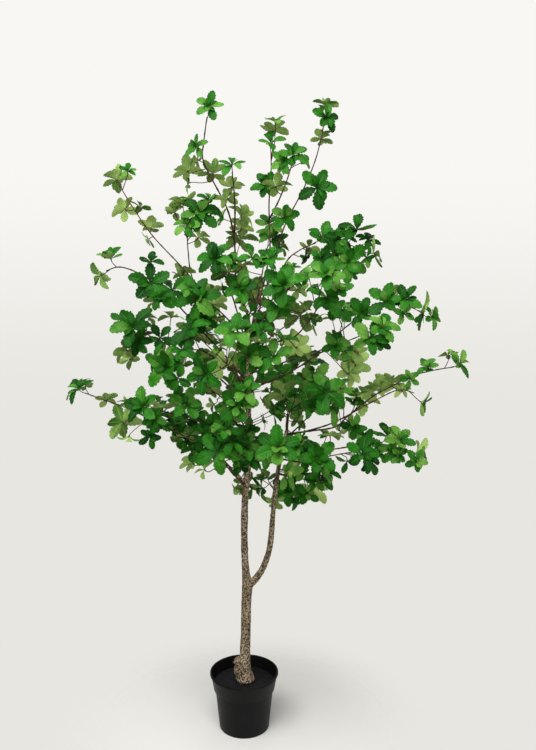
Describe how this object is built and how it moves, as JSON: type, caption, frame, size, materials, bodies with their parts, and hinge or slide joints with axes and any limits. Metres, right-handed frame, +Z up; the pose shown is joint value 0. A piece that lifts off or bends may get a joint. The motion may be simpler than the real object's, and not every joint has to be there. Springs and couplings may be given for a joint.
{
  "type": "potted enkianthus tree",
  "caption": "Slim forked tree with airy sprays of whorled leaves, standing in a dark weighted filling in a tapered nursery pot. Free-standing indoor or patio plant.",
  "frame": {"origin": "Centre of the pot's foot, on the surface that it stands on", "axes": "+Z up along the trunk, -Y towards the front that the picture shows, +X to the right seen from the front"},
  "size_m": [1.1443, 0.7118, 1.7935],
  "materials": {
    "pot_plastic": "satin black nursery pot plastic",
    "fill_grit": "rough dark cement with grit",
    "bark": "grey-brown pitted bark",
    "leaves": "satin green leaves on thin reddish-brown twigs"
  },
  "bodies": {
    "root": {"pot": "pot_plastic", "fill": "fill_grit", "trunk": "bark", "leader_left": "leaves", "leader_right": "leaves", "spray_top_front": "leaves", "spray_top_left": "leaves", "spray_top_right": "leaves", "spray_high_left": "leaves", "spray_high_inner": "leaves", "spray_upper_front": "leaves", "spray_upper_mid": "leaves", "spray_upper_right": "leaves", "spray_upper_left": "leaves", "spray_shoulder": "leaves", "spray_shoulder_back": "leaves", "spray_right_bright": "leaves", "spray_right_high": "leaves", "spray_right_mid": "leaves", "spray_right_long": "leaves", "spray_right_drop": "leaves", "spray_right_low": "leaves", "spray_right_under": "leaves", "spray_right_base": "leaves", "spray_side_top": "leaves", "spray_side_up": "leaves", "spray_side_front": "leaves", "spray_side_under": "leaves", "spray_main_bright": "leaves", "spray_main_pale": "leaves", "spray_main_left": "leaves", "spray_mid_left": "leaves", "spray_far_left": "leaves", "spray_low_tip": "leaves", "spray_low_left": "leaves", "spray_low_back": "leaves", "spray_low_front": "leaves", "spray_low_side": "leaves", "spray_low_mid": "leaves", "spray_mid_front": "leaves", "spray_mid_back": "leaves", "spray_back_high": "leaves", "spray_back_right": "leaves", "spray_back_left": "leaves", "spray_back_mid": "leaves", "spray_back_low": "leaves", "spray_back_side": "leaves"}
  },
  "joints": []
}
